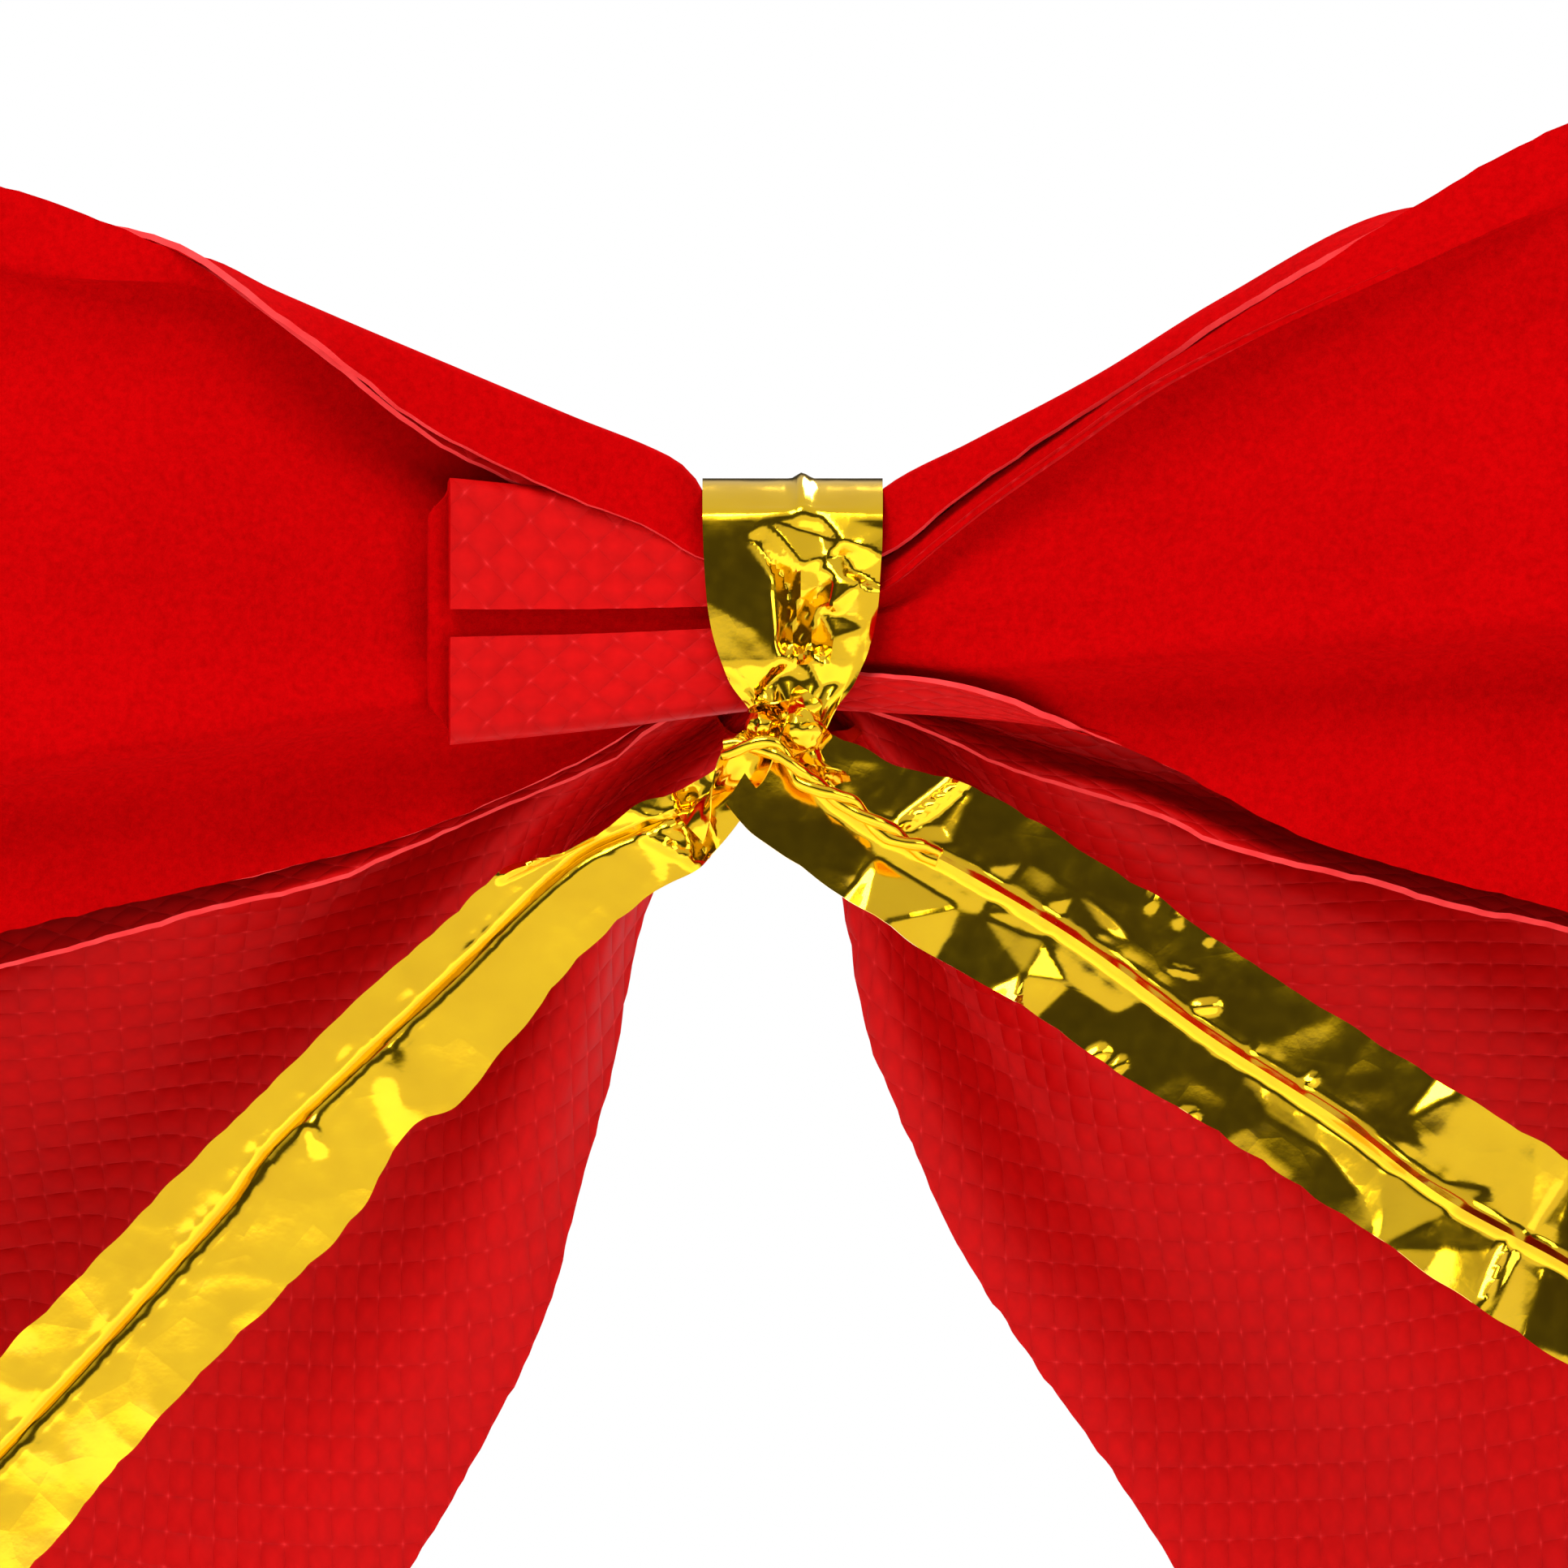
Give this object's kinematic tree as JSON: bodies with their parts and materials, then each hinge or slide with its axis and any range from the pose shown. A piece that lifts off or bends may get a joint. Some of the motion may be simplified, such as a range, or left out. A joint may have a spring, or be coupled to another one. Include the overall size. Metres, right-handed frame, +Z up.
{
  "type": "gift bow",
  "caption": "Red velvet ribbon bow with side loops and swallow-tailed ends, cinched by a gold foil twist tie whose legs bend round a branch or parcel.",
  "frame": {"origin": "back of the knot, where the two legs of the twist tie part", "axes": "+Z up towards the top edges of the loops, +Y out of the bow's front, +X to the right of someone who looks at its back"},
  "size_m": [0.162, 0.0272, 0.1046],
  "materials": {
    "velvet_ribbon": "short flocked pile outside, square-embossed non-woven backing inside",
    "gold_foil": "metallised gold film, crinkled",
    "steel_wire": "soft annealed"
  },
  "bodies": {
    "waist": {"loop_ribbon_waist": "velvet_ribbon", "tail_ribbon_waist": "velvet_ribbon", "tie_band_outer_film": "gold_foil", "tie_band_inner_film": "gold_foil", "tie_band_wire": "steel_wire", "tie_knot_foil": "gold_foil", "tie_knot_wire": "steel_wire"},
    "left_loop": {"loop_ribbon_left_loop": "velvet_ribbon", "loop_ribbon_cut_end": "velvet_ribbon"},
    "right_loop": {"loop_ribbon_right_loop": "velvet_ribbon"},
    "left_tail": {"tail_ribbon_left_tail": "velvet_ribbon"},
    "right_tail": {"tail_ribbon_right_tail": "velvet_ribbon"},
    "left_leg_root": {"tie_left_leg_root_outer_film": "gold_foil", "tie_left_leg_root_inner_film": "gold_foil", "tie_left_leg_root_wire": "steel_wire"},
    "left_leg_tip": {"tie_left_leg_tip_outer_film": "gold_foil", "tie_left_leg_tip_inner_film": "gold_foil", "tie_left_leg_tip_wire": "steel_wire"},
    "right_leg_root": {"tie_right_leg_root_outer_film": "gold_foil", "tie_right_leg_root_inner_film": "gold_foil", "tie_right_leg_root_wire": "steel_wire"},
    "right_leg_tip": {"tie_right_leg_tip_outer_film": "gold_foil", "tie_right_leg_tip_inner_film": "gold_foil", "tie_right_leg_tip_wire": "steel_wire"}
  },
  "joints": [
    {"name": "left_loop_swing", "type": "hinge", "parent": "waist", "child": "left_loop", "pos_m": [-0.00715, -0.0003, 0.0066], "axis": [0, 0, 1], "range_deg": [0, 20], "stiffness_Nm_per_rad": 0.002},
    {"name": "left_tail_swing", "type": "hinge", "parent": "waist", "child": "left_tail", "pos_m": [-0.0088, 0.0096, 0.00154], "axis": [0.7193, 0, -0.6947], "range_deg": [0, 35], "stiffness_Nm_per_rad": 0.003},
    {"name": "left_leg_root_bend", "type": "hinge", "parent": "waist", "child": "left_leg_root", "pos_m": [-0.0046, -0.002, -0.0039], "axis": [-0.6858, 0, 0.7278], "range_deg": [0, 60]},
    {"name": "left_leg_tip_bend", "type": "hinge", "parent": "left_leg_root", "child": "left_leg_tip", "pos_m": [-0.02498, -0.002, -0.0231], "axis": [-0.6858, 0, 0.7278], "range_deg": [0, 60]},
    {"name": "right_loop_swing", "type": "hinge", "parent": "waist", "child": "right_loop", "pos_m": [0.00715, -0.0003, 0.0066], "axis": [0, 0, -1], "range_deg": [0, 20], "stiffness_Nm_per_rad": 0.002},
    {"name": "right_tail_swing", "type": "hinge", "parent": "waist", "child": "right_tail", "pos_m": [0.0088, 0.0096, 0.00154], "axis": [0.7193, 0, 0.6947], "range_deg": [0, 35], "stiffness_Nm_per_rad": 0.003},
    {"name": "right_leg_root_bend", "type": "hinge", "parent": "waist", "child": "right_leg_root", "pos_m": [0.0026, -0.002, -0.0036], "axis": [-0.5314, 0, -0.8471], "range_deg": [0, 60]},
    {"name": "right_leg_tip_bend", "type": "hinge", "parent": "right_leg_root", "child": "right_leg_tip", "pos_m": [0.02717, -0.002, -0.01901], "axis": [-0.5314, 0, -0.8471], "range_deg": [0, 60]}
  ]
}
